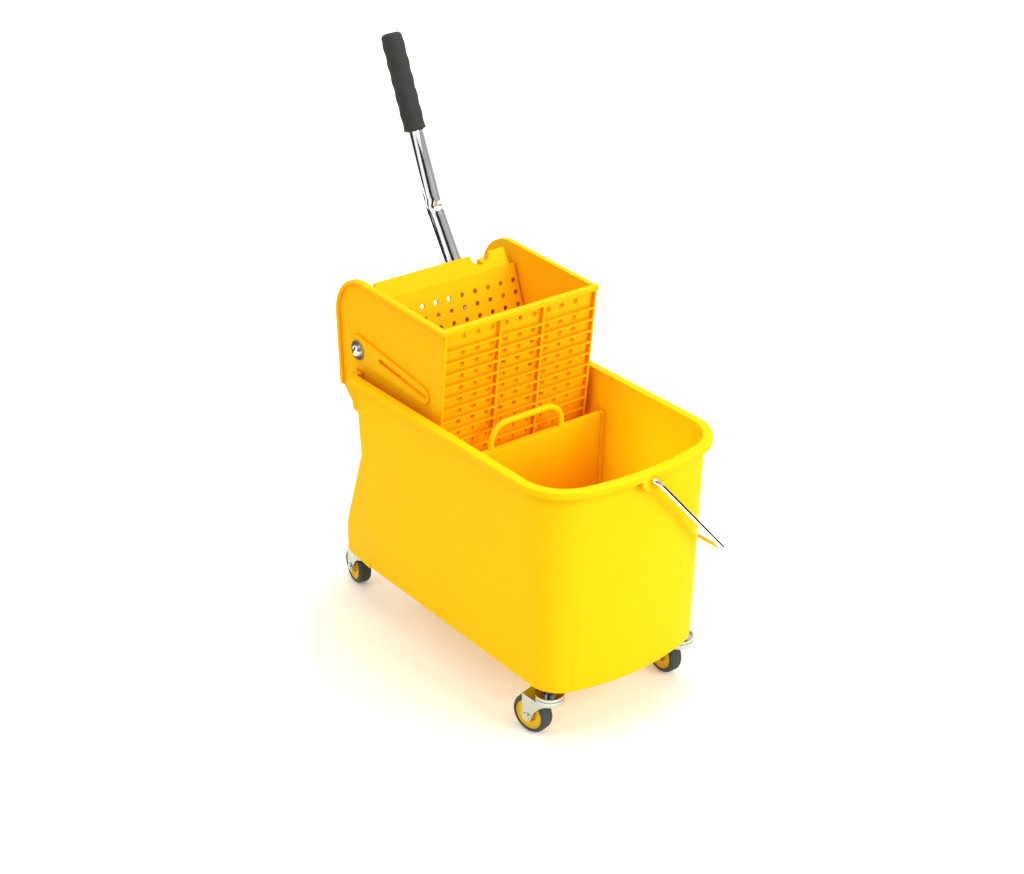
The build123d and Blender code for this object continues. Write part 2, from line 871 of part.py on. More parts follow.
with BuildPart() as pivot_washers:
    for turn in (1, -1):
        with BuildSketch(slide_plane(turn * boss_face)):
            Circle(washer_radius)
            Circle(bore_radius, mode=Mode.SUBTRACT)
        extrude(amount=turn * washer_thickness)

with BuildPart() as pivot_nuts:
    for turn in (1, -1):
        with BuildSketch(slide_plane(turn * hopper_inner)):
            RegularPolygon(nut_radius, 6)
            Circle(bore_radius, mode=Mode.SUBTRACT)
        extrude(amount=-turn * nut_height)

# Bail: one bent wire from lug to lug, stored hanging on the left side.

bail_side = rim_width / 2 - rim_overhang + wire / 2 + bail_stand
bail_rest = acos(bail_side / (bail_reach + bail_arch))
bail_plane = Plane(origin=(0, 0, bail_height), x_dir=(1, 0, 0), z_dir=(0, sin(bail_rest), cos(bail_rest)))
bail_front = rim_front + bail_elbow
bail_back = rim_back - bail_elbow
front_post = rim_front - bail_front_draw
rear_post = rim_back - bail_rear_spread

with BuildPart() as bail:
    with BuildLine(bail_plane) as bail_path:
        FilletPolyline(
            (rim_front - rim_overhang + near_gap, 0),
            (bail_front, 0),
            (front_post, bail_reach),
            (front_post - bail_knee, bail_reach + bail_arch),
            (rear_post + bail_knee, bail_reach + bail_arch),
            (rear_post, bail_reach),
            (bail_back, 0),
            (rim_back + rim_overhang - near_gap, 0),
            radius=wire_bend,
        )
    with BuildSketch(Plane(bail_path.wire() @ 0, x_dir=(0, 1, 0), z_dir=bail_path.wire() % 0)):
        Circle(wire / 2)
    sweep(path=bail_path.wire())

# Casters: each has a fixed stem, a swivelling fork with its axle, and a wheel of hub and tyre.

axle_height = wheel_diameter / 2
fork_inner = wheel_width / 2 + cheek_gap
wheel_inner = wheel_diameter / 2 - tyre_depth
axle_radius = axle_diameter / 2
kingpin_radius = kingpin_diameter / 2


def upright_plane(place):
    """Plane through the swivel axis and the wheel's heading."""
    return Plane(origin=place.origin, x_dir=place.x_dir, z_dir=-place.y_dir)


def caster_stem(place):
    """Stem with its collar, cupped race and riveted kingpin, turned about the swivel axis."""
    with BuildPart() as stem:
        with BuildSketch(upright_plane(place)):
            with BuildLine():
                Polyline(
                    (0, fork_top - kingpin_head_height - seat_gap),
                    (kingpin_head, fork_top - kingpin_head_height - seat_gap),
                    (kingpin_head, fork_top - seat_gap),
                    (kingpin_radius, fork_top - seat_gap),
                    (kingpin_radius, cap_bottom),
                    (race_radius, cap_bottom),
                    (race_radius, cap_bottom + cap_rise),
                    (race_radius - sheet, cap_bottom + cap_rise),
                    (race_radius - sheet, cap_bottom + sheet),
                    (collar_radius, cap_bottom + sheet),
                    (collar_radius, tub_bottom),
                    (stem_diameter / 2, tub_bottom),
                    (stem_diameter / 2, tub_bottom + stem_length),
                    (0, tub_bottom + stem_length),
                    close=True,
                )
            make_face()
        revolve(axis=Axis(place.origin, (0, 0, 1)))
    return stem


def caster_fork(place):
    """Pressed fork: a cupped top, two upright cheeks at the axle and a curved web from each to the top."""
    front = cheek_width / 2 - trail
    with BuildPart() as fork:
        with BuildSketch(place.offset(fork_top)):
            Circle(race_radius)
            with Locations((-trail, 0)):
                Rectangle(cheek_width, 2 * (fork_inner + sheet))
            make_hull()
            Circle(kingpin_radius + running_gap, mode=Mode.SUBTRACT)
        extrude(amount=sheet)
        with BuildSketch(place.offset(fork_top + sheet)):
            Circle(race_radius)
            Circle(race_radius - 2 * sheet, mode=Mode.SUBTRACT)
        extrude(amount=race_rise)
        for cheek in (fork_inner, -fork_inner - sheet):
            with BuildSketch(upright_plane(place).offset(cheek)):
                with Locations((-trail, axle_height)):
                    Circle(cheek_width / 2)
                    Rectangle(cheek_width, fork_top + sheet - axle_height, align=(Align.CENTER, Align.MIN))
                with BuildLine():
                    Line((front, axle_height), (front, fork_top + sheet))
                    Line((front, fork_top + sheet), (web_reach, fork_top + sheet))
                    Line((web_reach, fork_top + sheet), (web_reach, fork_top - sheet))
                    RadiusArc((web_reach, fork_top - sheet), (front, axle_height), -web_radius)
                make_face()
                with Locations((-trail, axle_height)):
                    Circle(axle_radius + running_gap, mode=Mode.SUBTRACT)
            extrude(amount=sheet)
    return fork


def caster_axle(place):
    """Rivet through both cheeks."""
    face = fork_inner + sheet
    with BuildPart() as axle:
        with BuildSketch(upright_plane(place).offset(-face)):
            with Locations((-trail, axle_height)):
                Circle(axle_radius)
        extrude(amount=2 * face)
        for start, height in ((face, axle_head_height), (-face, -axle_head_height)):
            with BuildSketch(upright_plane(place).offset(start)):
                with Locations((-trail, axle_height)):
                    Circle(axle_head)
            extrude(amount=height, taper=axle_head_taper)
    return axle


def wheel_plane(place):
    """Plane through the wheel's middle, with its x axis along the axle and its y axis up."""
    centre = place.from_local_coords(Vector(-trail, 0, axle_height))
    return Plane(origin=centre, x_dir=place.y_dir, z_dir=place.x_dir)


def caster_hub(place):
    """Wheel centre: a boss on the axle in a sunk eye, a flat disc and a rim."""
    middle = wheel_plane(place)
    boss_half = fork_inner - seat_gap
    rim_half = wheel_width / 2 - near_gap
    disc_half = rim_half - hub_dish
    eye_half = disc_half - hub_eye_depth
    half = [
        (boss_half, axle_radius + running_gap),
        (boss_half, hub_boss),
        (eye_half, hub_boss),
        (eye_half, hub_eye),
        (disc_half, hub_eye),
        (disc_half, wheel_inner - hub_wall),
        (rim_half, wheel_inner - hub_wall),
        (rim_half, wheel_inner),
    ]
    with BuildPart() as hub:
        with BuildSketch(middle):
            with BuildLine():
                Polyline(*half, *[(-x, y) for x, y in reversed(half)], close=True)
            make_face()
        revolve(axis=Axis(middle.origin, middle.x_dir))
    return hub


def caster_tyre(place):
    """Solid tyre with rounded shoulders and two grooves in its tread."""
    middle = wheel_plane(place)
    with BuildPart() as tyre:
        with BuildSketch(middle):
            with Locations((0, wheel_inner)):
                Rectangle(wheel_width, tyre_depth, align=(Align.CENTER, Align.MIN))
            fillet(vertices().group_by(Axis.Y)[-1], tyre_round)
            with Locations(*[(turn * tread_place, wheel_diameter / 2) for turn in (-1, 1)]):
                Rectangle(tread_groove, 2 * tread_depth, mode=Mode.SUBTRACT)
        revolve(axis=Axis(middle.origin, middle.x_dir))
    return tyre


pieces = {
    "tub": tub,
    "divider": divider,
    "wringer_body": wringer_body,
    "press_plate": press_plate,
    "lever_shaft": lever_shaft,
    "drive_pins": drive_pins,
    "lever_tube": lever_tube,
    "lever_grip": lever_grip,
    "clamp_screw": clamp_screw,
    "pivot_bolts": pivot_bolts,
    "pivot_washers": pivot_washers,
    "pivot_nuts": pivot_nuts,
    "bail": bail,
}

for name, (x, y, angle) in caster_places.items():
    heading = (cos(radians(angle)), sin(radians(angle)), 0)
    stand = Plane(origin=(x, y, 0), x_dir=heading, z_dir=(0, 0, 1))
    pieces[f"{name}_stem"] = caster_stem(stand)
    pieces[f"{name}_fork"] = caster_fork(stand)
    pieces[f"{name}_axle"] = caster_axle(stand)
    pieces[f"{name}_hub"] = caster_hub(stand)
    pieces[f"{name}_tyre"] = caster_tyre(stand)

os.makedirs("parts", exist_ok=True)
for name, piece in pieces.items():
    piece.part.label = name
    export_step(piece.part, f"parts/{name}.step")

print(f"press travel {press_travel:.2f} mm, {travel_rate:.3f} mm per radian of the lever")
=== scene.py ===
# %% [markdown]
# # A mop bucket with a lever wringer
#
# The real thing is a glossy yellow plastic tub on four zinc plated casters. A wringer hooks over its
# rear end: pulling the chrome lever pushes a perforated plate against a ribbed wall and squeezes the mop
# between them. The measured solids come in as a fixed frame, so this lesson is about looks: a camera, a
# white studio, finishes, and the small shapes that only the eye asks for. All lengths are in metres.

import json
from math import copysign, cos, exp, pi, radians, sin

import bpy
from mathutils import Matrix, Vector


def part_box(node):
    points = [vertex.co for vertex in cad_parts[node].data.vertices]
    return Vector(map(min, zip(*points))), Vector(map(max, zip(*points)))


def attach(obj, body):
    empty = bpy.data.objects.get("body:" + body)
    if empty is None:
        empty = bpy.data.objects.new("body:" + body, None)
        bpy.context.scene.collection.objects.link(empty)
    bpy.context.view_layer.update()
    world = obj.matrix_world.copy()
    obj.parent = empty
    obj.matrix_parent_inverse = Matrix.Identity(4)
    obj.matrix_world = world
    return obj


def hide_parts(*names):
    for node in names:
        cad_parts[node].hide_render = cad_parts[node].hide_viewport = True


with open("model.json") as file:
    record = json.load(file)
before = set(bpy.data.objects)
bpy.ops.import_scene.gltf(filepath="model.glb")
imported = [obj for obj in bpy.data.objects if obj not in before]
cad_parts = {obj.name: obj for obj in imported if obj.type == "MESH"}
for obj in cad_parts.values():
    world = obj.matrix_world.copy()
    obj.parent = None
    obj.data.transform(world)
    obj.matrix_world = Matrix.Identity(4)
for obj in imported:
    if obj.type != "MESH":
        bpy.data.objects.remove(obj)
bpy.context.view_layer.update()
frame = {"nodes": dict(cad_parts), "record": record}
nodes = frame["nodes"]
scene = bpy.context.scene

# %% [markdown]
# ## Camera
#
# The photograph looks down at the front right corner through a longish lens. A camera can be placed by
# eye, but straight edges such as the rim give its place exactly, so the values below are that solved
# viewpoint: an azimuth and an elevation about a point in the middle of the object, a distance and a
# focal length.

# %% Camera
AIM = Vector((-0.0025, 0.002, 0.283))
AZIMUTH = radians(52.57)
ELEVATION = radians(27.21)
DISTANCE = 2.404
LENS_MM = 68.9
SENSOR_MM = 36

away = Vector((sin(AZIMUTH) * cos(ELEVATION), -cos(AZIMUTH) * cos(ELEVATION), sin(ELEVATION)))
camera = bpy.data.objects.new("camera", bpy.data.cameras.new("camera"))
camera.data.lens = LENS_MM
camera.data.sensor_width = SENSOR_MM
camera.data.sensor_fit = "HORIZONTAL"
camera.location = AIM + DISTANCE * away
camera.rotation_euler = (-away).to_track_quat("-Z", "Y").to_euler()
scene.collection.objects.link(camera)
scene.camera = camera
print("camera at", [round(v, 3) for v in camera.location])

# %% [markdown]
# ## Paper floor
#
# Under the bucket there is only white paper, with a pale warm shadow where the plastic tints it. The
# paper's cream colour is painted warm bounce light, which the glow washes out away from the bucket. The
# paper glows a little for the eye, and more the further it lies from the bucket, so the shadow stays and
# the floor's own edge is lost. More light on the paper would light the bucket too. A Light Path node
# tells the rays of eyes and mirrors from the rays that light things, and only the first kind meets the
# glow.

# %% Paper floor
FLOOR_SIZE = 30
# Cream of the paper: painted warm bounce light, seen mostly in the bucket's shadow.
PAPER_BOUNCE_CREAM = (0.98, 0.92, 0.76, 1)
WHITE = (1, 1, 1, 1)
WHOLE = (0, 1)
GLOW_REACH = (0.25, 0.48)
GLOW = (0.2, 0.75)


def parts_of(material):
    """Node tree and shader of a material."""
    material.use_nodes = True
    tree = material.node_tree
    return tree, tree.nodes["Principled BSDF"]


def rescale(tree, value, old, new):
    """Value carried over from an old range to a new one."""
    span = tree.nodes.new("ShaderNodeMapRange")
    span.inputs["From Min"].default_value = old[0]
    span.inputs["From Max"].default_value = old[1]
    span.inputs["To Min"].default_value = new[0]
    span.inputs["To Max"].default_value = new[1]
    tree.links.new(value, span.inputs["Value"])
    return span.outputs["Result"]


def combine(tree, operation, first, second):
    """One value from two, such as their product or the larger of them."""
    joined = tree.nodes.new("ShaderNodeMath")
    joined.operation = operation
    tree.links.new(first, joined.inputs[0])
    tree.links.new(second, joined.inputs[1])
    return joined.outputs["Value"]


def seen_rays(tree):
    """One for the rays of eyes and mirrors, and nought for the rays that light things."""
    rays = tree.nodes.new("ShaderNodeLightPath")
    return combine(tree, "MAXIMUM", rays.outputs["Is Camera Ray"], rays.outputs["Is Glossy Ray"])


paper = bpy.data.materials.new("white_paper")
paper_tree, paper_shader = parts_of(paper)
paper_shader.inputs["Base Color"].default_value = PAPER_BOUNCE_CREAM
paper_shader.inputs["Roughness"].default_value = 1
paper_shader.inputs["Specular IOR Level"].default_value = 0
paper_shader.inputs["Emission Color"].default_value = WHITE
paper_place = paper_tree.nodes.new("ShaderNodeTexCoord")
paper_reach = paper_tree.nodes.new("ShaderNodeVectorMath")
paper_reach.operation = "LENGTH"
paper_tree.links.new(paper_place.outputs["Object"], paper_reach.inputs[0])
paper_glow = rescale(paper_tree, paper_reach.outputs["Value"], GLOW_REACH, GLOW)
paper_seen = combine(paper_tree, "MULTIPLY", paper_glow, seen_rays(paper_tree))
paper_tree.links.new(paper_seen, paper_shader.inputs["Emission Strength"])
bpy.ops.mesh.primitive_plane_add(size=FLOOR_SIZE)
floor = bpy.context.object
floor.name = "studio_floor"
floor.data.materials.append(paper)
print("floor", floor.name, "with", paper.name)

# %% [markdown]
# ## White world
#
# Beyond the paper, eyes and polished metal see a white world. At full strength its light would wash the
# shape out of the plastic, so the same rays tell it to light things with less than it shows.

# %% White world
AMBIENT = 0.66

world = bpy.data.worlds.new("studio")
scene.world = world
world.use_nodes = True
sky = world.node_tree
sky_light = sky.nodes["Background"]
sky_light.inputs["Color"].default_value = WHITE
sky.links.new(rescale(sky, seen_rays(sky), WHOLE, (AMBIENT, 1)), sky_light.inputs["Strength"])
scene.view_settings.view_transform = "Standard"
print("world", world.name, "lights with", AMBIENT)

# %% [markdown]
# ## Lamps
#
# The front end is the brightest face, so the main soft lamp stands out in front, to the right of the
# camera and above it. A wide lamp overhead lifts the rim, and a small one at the camera's left, which
# mirrors don't see, fills the tub's long side. Point lamps would cast hard shadows, so these are large
# squares. Each row is a place, a width and a power in watts.

# %% Lamps
LAMPS = {
    "front_lamp": ((2.5, 1.0, 1.7), 1.6, 54),
    "top_lamp": ((-0.2, 0.3, 2.6), 2.2, 34),
    "left_lamp": ((-0.1, -1.9, 2.4), 1.2, 13),
}
MIDDLE = Vector((0, 0, 0.3))


def facing(place):
    """Rotation that turns the shining side of a lamp or card at a place towards the bucket."""
    return (MIDDLE - Vector(place)).to_track_quat("-Z", "Y").to_euler()


def square_lamp(name, place, size, power):
    """Soft square lamp."""
    lamp = bpy.data.objects.new(name, bpy.data.lights.new(name, "AREA"))
    lamp.data.size = size
    lamp.data.energy = power
    lamp.location = place
    scene.collection.objects.link(lamp)
    return lamp


for name, (place, size, power) in LAMPS.items():
    lamp = square_lamp(name, place, size, power)
    lamp.rotation_euler = facing(place)
    lamp.visible_glossy = name != "left_lamp"
print("lamps", len(LAMPS))

# %% [markdown]
# ## Glow inside the tub
#
# The yellow walls are thin enough to let some light through, so the inside of the real tub glows. True
# scattering would be slow and grainy here, so two small tinted lamps inside the tub, which no eye or
# mirror sees, stand for that glow. Each row is a place, a width, a power, a tint, and a tilt and a
# spread in degrees.

# %% Glow inside the tub
GLOWS = {
    "front_glow": ((0.15, -0.1, 0.25), 0.08, 0.05, (0.8, 1, 0.3), 97, 80),
    "rear_glow": ((-0.03, 0, 0.1), 0.1, 0.22, (1, 0.45, 0.05), 180, 180),
}

for name, (place, size, power, tint, tilt, spread) in GLOWS.items():
    glow = square_lamp(name, place, size, power)
    glow.data.color = tint
    glow.data.spread = radians(spread)
    glow.rotation_euler = (radians(tilt), 0, 0)
    glow.visible_camera = False
    glow.visible_glossy = False
print("inner lamps", len(GLOWS))

# %% [markdown]
# ## Cards for the chrome
#
# Chrome only looks like chrome when it has something dark to mirror. On the real lever two dark lines
# run between white bands, and one half is grey. Lines painted on the tube would be wrong from any other
# side, so cards outside the view give them, and only reflections see the cards. Each card stands where a
# line of sight goes on to after it bounces off the metal: one for each dark line, a large grey one for
# the dull half, one low behind the tub for the casters and one beside the bail. Each row is a place, a
# width and height, and the strength of the card's own grey.

# %% Cards
CARDS = {
    "near_card": ((1.18, -1.34, 0.9), (1.2, 2.8), 0),
    "left_card": ((-1.22, -1.69, 0.8), (1.2, 2.4), 0),
    "rear_card": ((-0.66, -0.15, 0.13), (1.2, 0.38), 0),
    "right_card": ((1.53, 0.97, 1.0), (4.8, 3.4), 0.37),
    "low_card": ((0.3, 0.56, 0.1), (1.2, 0.24), 0),
}
CARD_BLACK = (0.004, 0.004, 0.005, 1)
CARD_TINT = (1, 0.97, 0.95, 1)

for name, (place, (width, height), strength) in CARDS.items():
    board = bpy.data.materials.new(name)
    _, board_shader = parts_of(board)
    board_shader.inputs["Base Color"].default_value = CARD_BLACK
    board_shader.inputs["Roughness"].default_value = 1
    board_shader.inputs["Emission Color"].default_value = CARD_TINT
    board_shader.inputs["Emission Strength"].default_value = strength
    bpy.ops.mesh.primitive_plane_add(size=1, location=place)
    card = bpy.context.object
    card.name = name
    card.rotation_euler = facing(place)
    card.scale = (width, height, 1)
    card.data.materials.append(board)
    card.visible_camera = False
    card.visible_diffuse = False
    card.visible_shadow = False
print("cards", len(CARDS))

# %% [markdown]
# ## Skins
#
# Up close no surface is one flat colour: the tone drifts a little, the gloss changes from place to
# place, and the skin has a fine pebble from its mould or its polish. A painted image would need each
# solid unwrapped first. Three noises at three sizes do without that. They are read from the object's own
# coordinates, so they go along with a piece that moves. Each finish is a row: two tones, the least and
# most roughness, and the fineness and depth of its grain.

# %% Skins
TONE_SCALE = 9
TONE_DETAIL = 2
GLOSS_SCALE = 40
GLOSS_DETAIL = 3
GRAIN_DETAIL = 2

finishes = {}


def noise_of(tree, scale, detail):
    """Noise over the object's own coordinates."""
    place = tree.nodes.new("ShaderNodeTexCoord")
    noise = tree.nodes.new("ShaderNodeTexNoise")
    noise.inputs["Scale"].default_value = scale
    noise.inputs["Detail"].default_value = detail
    tree.links.new(place.outputs["Object"], noise.inputs["Vector"])
    return noise.outputs["Fac"]


def drift_tone(tree, shader, tones):
    """Base colour that wanders between two tones."""
    mix = tree.nodes.new("ShaderNodeMix")
    mix.data_type = "RGBA"
    mix.inputs["A"].default_value = tones[0]
    mix.inputs["B"].default_value = tones[1]
    tree.links.new(noise_of(tree, TONE_SCALE, TONE_DETAIL), mix.inputs["Factor"])
    tree.links.new(mix.outputs["Result"], shader.inputs["Base Color"])


def drift_gloss(tree, shader, gloss):
    """Roughness that wanders between two values."""
    wander = rescale(tree, noise_of(tree, GLOSS_SCALE, GLOSS_DETAIL), WHOLE, gloss)
    tree.links.new(wander, shader.inputs["Roughness"])


def pebble(tree, shader, grain, depth):
    """Bump of a fine grain."""
    bump = tree.nodes.new("ShaderNodeBump")
    bump.inputs["Strength"].default_value = 1
    bump.inputs["Distance"].default_value = depth
    tree.links.new(noise_of(tree, grain, GRAIN_DETAIL), bump.inputs["Height"])
    tree.links.new(bump.outputs["Normal"], shader.inputs["Normal"])


def make_finishes(rows, socket, value):
    """Makes the finish of each row, with one socket of its shader set to a value."""
    for name, (tones, gloss, grain, depth) in rows.items():
        finishes[name] = bpy.data.materials.new(name)
        tree, shader = parts_of(finishes[name])
        drift_tone(tree, shader, tones)
        drift_gloss(tree, shader, gloss)
        pebble(tree, shader, grain, depth)
        shader.inputs[socket].default_value = value
    print("finishes", *rows)


print("noises at scales", TONE_SCALE, "and", GLOSS_SCALE)

# %% [markdown]
# ## Moulded plastic
#
# The tub, divider, wringer and hubs are injection moulded. The wringer's yellow is a little deeper than
# the tub's, and the hubs are a little duller. Their mirror is weak, because the soft light already gives
# the gloss that the photograph shows.

# %% Plastic
TUB_YELLOW = (0.98, 0.61, 0.006, 1)
TUB_DEEP = (0.96, 0.58, 0.005, 1)
# The divider's lighter yellow is painted light, for its loop that stands up in the light.
DIVIDER_LIT_YELLOW = (0.98, 0.68, 0.006, 1)
WRINGER_YELLOW = (0.98, 0.55, 0.006, 1)
WRINGER_DEEP = (0.96, 0.52, 0.005, 1)
HUB_YELLOW = (0.92, 0.60, 0.04, 1)
HUB_DEEP = (0.86, 0.54, 0.035, 1)
PLASTIC_MIRROR = 0.02
PLASTICS = {
    "tub_plastic": ((TUB_YELLOW, TUB_DEEP), (0.32, 0.44), 900, 0.00004),
    "divider_plastic_painted_light": ((DIVIDER_LIT_YELLOW, TUB_YELLOW), (0.32, 0.44), 900, 0.00004),
    "wringer_plastic": ((WRINGER_YELLOW, WRINGER_DEEP), (0.34, 0.46), 900, 0.00004),
    "hub_plastic": ((HUB_YELLOW, HUB_DEEP), (0.35, 0.5), 1200, 0.00004),
}

make_finishes(PLASTICS, "Specular IOR Level", PLASTIC_MIRROR)

# %% [markdown]
# ## Painted orange shade in recesses
#
# Where two walls stand close, light goes from yellow to yellow and turns orange. A painted map could
# show it, but an ambient occlusion node finds those places by itself, so this painted shade and bounce
# light follows the shape. The divider's face lies deep in the tub, in shade, while its loop stands up in
# the light, so its painted shade turns it orange from its top down and follows its height.

# %% Painted orange shade
# Orange painted into the colour as shade and bounce light.
SHADE_ORANGE = (0.98, 0.37, 0.002, 1)
RECESS_REACH = 0.02
RECESS_SAMPLES = 4
RECESS_LIGHT = (0.4, 0.86)
# Heights over which painted shade turns the divider orange down into the tub.
DIVIDER_SHADE_HEIGHTS = (0.19, 0.3)


def paint_shade(tree, shader, value, span):
    """Paints orange shade into the base colour as a value falls from the end of a span to its start."""
    mix = tree.nodes.new("ShaderNodeMix")
    mix.data_type = "RGBA"
    mix.inputs["A"].default_value = SHADE_ORANGE
    tone = shader.inputs["Base Color"].links[0].from_socket
    tree.links.new(rescale(tree, value, span, WHOLE), mix.inputs["Factor"])
    tree.links.new(tone, mix.inputs["B"])
    tree.links.new(mix.outputs["Result"], shader.inputs["Base Color"])


def paint_recess_shade(material):
    """Paints orange shade and bounce light where walls stand close together."""
    tree, shader = parts_of(material)
    hollow = tree.nodes.new("ShaderNodeAmbientOcclusion")
    hollow.samples = RECESS_SAMPLES
    hollow.inputs["Distance"].default_value = RECESS_REACH
    paint_shade(tree, shader, hollow.outputs["AO"], RECESS_LIGHT)


def paint_height_shade(material, heights):
    """Paints orange shade from a height down to a lower one."""
    tree, shader = parts_of(material)
    place = tree.nodes.new("ShaderNodeTexCoord")
    parts = tree.nodes.new("ShaderNodeSeparateXYZ")
    tree.links.new(place.outputs["Object"], parts.inputs["Vector"])
    paint_shade(tree, shader, parts.outputs["Z"], heights)


# Painted orange shade in the recesses of the tub and the wringer.
paint_recess_shade(finishes["tub_plastic"])
paint_recess_shade(finishes["wringer_plastic"])
# Painted shade turns the divider orange from its top down into the tub.
paint_height_shade(finishes["divider_plastic_painted_light"], DIVIDER_SHADE_HEIGHTS)
print("tints reach", RECESS_REACH, "and go down from", DIVIDER_SHADE_HEIGHTS[1])

# %% [markdown]
# ## Metal and rubber
#
# Chrome is a mirror with a faint haze, and the bail's drawn wire is a little greyer. The casters are
# pressed sheet under zinc, softer than chrome, and the hidden shaft is plain satin steel. The grip and
# tyres are dark rubber: grey rather than black, with a dry sheen and a finer, deeper grain than the
# plastic.

# %% Metal and rubber
CHROME = ((0.94, 0.94, 0.95, 1), (0.89, 0.89, 0.91, 1))
WIRE = ((0.84, 0.84, 0.83, 1), (0.78, 0.78, 0.77, 1))
STEEL = ((0.58, 0.58, 0.58, 1), (0.50, 0.50, 0.50, 1))
ZINC = ((0.53, 0.57, 0.56, 1), (0.47, 0.52, 0.51, 1))
GRIP = ((0.025, 0.030, 0.029, 1), (0.033, 0.029, 0.024, 1))
TYRE = ((0.056, 0.069, 0.074, 1), (0.044, 0.055, 0.060, 1))
RUBBER_MIRROR = 0.35
METALS = {
    "chrome_plate": (CHROME, (0.06, 0.14), 300, 0.000003),
    "bright_wire": (WIRE, (0.06, 0.14), 300, 0.000003),
    "satin_steel": (STEEL, (0.28, 0.45), 700, 0.00001),
    "zinc_plate": (ZINC, (0.1, 0.2), 500, 0.000008),
}
RUBBERS = {
    "dipped_rubber": (GRIP, (0.62, 0.8), 1500, 0.00012),
    "moulded_rubber": (TYRE, (0.5, 0.68), 1100, 0.00006),
}

make_finishes(METALS, "Metallic", 1)
make_finishes(RUBBERS, "Specular IOR Level", RUBBER_MIRROR)

# %% [markdown]
# ## Dress the solids
#
# Each solid keeps its measured shape and takes its finish. Moulded and pressed edges are never razor
# sharp, so a weld joins the facets, those in one plane become one face, and a narrow bevel rounds only
# the edges that turn by more than thirty degrees. Rounding by hand would change the solids, and
# modifiers leave them as they are.

# %% Dress the solids
FINISH_NAMES = {
    "tub": "tub_plastic",
    "divider": "divider_plastic_painted_light",
    "wringer_body": "wringer_plastic",
    "press_plate": "wringer_plastic",
    "lever_shaft": "satin_steel",
    "drive_pins": "satin_steel",
    "clamp_screw": "satin_steel",
    "lever_tube": "chrome_plate",
    "lever_grip": "dipped_rubber",
    "pivot_bolts": "chrome_plate",
    "pivot_washers": "satin_steel",
    "pivot_nuts": "satin_steel",
    "bail": "bright_wire",
    "stem": "zinc_plate",
    "fork": "zinc_plate",
    "axle": "zinc_plate",
    "hub": "hub_plastic",
    "tyre": "moulded_rubber",
}
EDGE_WIDTHS = {
    "tub": 0.0008,
    "wringer_body": 0.0008,
    "press_plate": 0.0007,
    "divider": 0.0008,
    "fork": 0.0004,
    "pivot_bolts": 0.0002,
}
WELD_REACH = 0.00001
FLAT_TURN = radians(0.5)
EDGE_TURN = radians(30)
EDGE_STEPS = 3


def dress(piece, finish):
    """Gives a piece its only material."""
    piece.data.materials.clear()
    piece.data.materials.append(finishes[finish])


def soften(piece, width):
    """Rounds a solid's sharp edges by a width."""
    weld = piece.modifiers.new("weld", "WELD")
    weld.merge_threshold = WELD_REACH
    flat = piece.modifiers.new("flat", "DECIMATE")
    flat.decimate_type = "DISSOLVE"
    flat.angle_limit = FLAT_TURN
    bevel = piece.modifiers.new("bevel", "BEVEL")
    bevel.width = width
    bevel.segments = EDGE_STEPS
    bevel.limit_method = "ANGLE"
    bevel.angle_limit = EDGE_TURN
    bevel.harden_normals = True


for name, piece in nodes.items():
    kind = name if name in FINISH_NAMES else name.rsplit("_", 1)[-1]
    dress(piece, FINISH_NAMES[kind])
    if kind in EDGE_WIDTHS:
        soften(piece, EDGE_WIDTHS[kind])
print("dressed", len(nodes), "solids")

# %% [markdown]
# ## Press plate
#
# The plate that squeezes the mop is one moulding, with a lip along its top that leans back. On the real
# plate the lip's ends are cut square, where the measured solid rounds them. A boolean could add the
# missing corners, but the points of each round can also slide outwards until they meet in a corner: the
# copy then stays one closed skin with nothing added.

# %% Press plate
LIP_LEAN = radians(31)
LIP_HALF = 0.098
LIP_ROUND = 0.008
LIP_CORNER = Vector((-0.14635, 0, 0.46461))


def lean_line(lean):
    """Upward direction that leans to the rear."""
    return Vector((-sin(lean), 0, cos(lean)))


lip_up = lean_line(LIP_LEAN)
lip_edge = LIP_CORNER.dot(lip_up) - LIP_ROUND
plate_mesh = nodes["press_plate"].data.copy()
squared = 0
for point in plate_mesh.vertices:
    out = abs(point.co.y) - LIP_HALF + LIP_ROUND
    up = point.co.dot(lip_up) - lip_edge
    if out > 0 and up > 0:
        stretch = (out * out + up * up) ** 0.5 / max(out, up) - 1
        point.co += stretch * up * lip_up
        point.co.y += copysign(stretch * out, point.co.y)
        squared += 1
square_plate = bpy.data.objects.new("square_press_plate", plate_mesh)
scene.collection.objects.link(square_plate)
dress(square_plate, "wringer_plastic")
soften(square_plate, EDGE_WIDTHS["press_plate"])
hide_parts("press_plate")
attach(square_plate, "press")
print("squared", squared, "points of the lip")

# %% [markdown]
# ## Line of the lever
#
# The lever leans back from its pivot in two straight runs with a slight bend between them. A curve
# object could follow it, but the next steps need the centre and direction at any distance from the bend,
# so a function gives both and eases the bend over a short length.

# %% Line of the lever
LOWER_LEAN = radians(33)
UPPER_LEAN = radians(23.6)
LOWER_RUN = 0.147
BEND_REACH = 0.016

joints = {joint["name"]: joint for joint in frame["record"]["behaviour"]["joints"]}
pivot = Vector(joints["lever_pull"]["pos_m"])
tube_low, tube_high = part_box("lever_tube")
pivot.y = (tube_low.y + tube_high.y) / 2


def tube_line(reach):
    """Centre and direction of the tube at a distance from its bend."""
    share = min(max((reach + BEND_REACH / 2) / BEND_REACH, 0), 1)
    lean = LOWER_LEAN + (UPPER_LEAN - LOWER_LEAN) * share
    corner = pivot + LOWER_RUN * lean_line(LOWER_LEAN)
    if share in (0, 1):
        return corner + reach * lean_line(lean), lean_line(lean)
    start = corner - BEND_REACH / 2 * lean_line(LOWER_LEAN)
    half = (LOWER_LEAN + lean) / 2
    return start + share * BEND_REACH * lean_line(half), lean_line(lean)


print("lever's bend at", [round(v, 3) for v in tube_line(0)[0]])

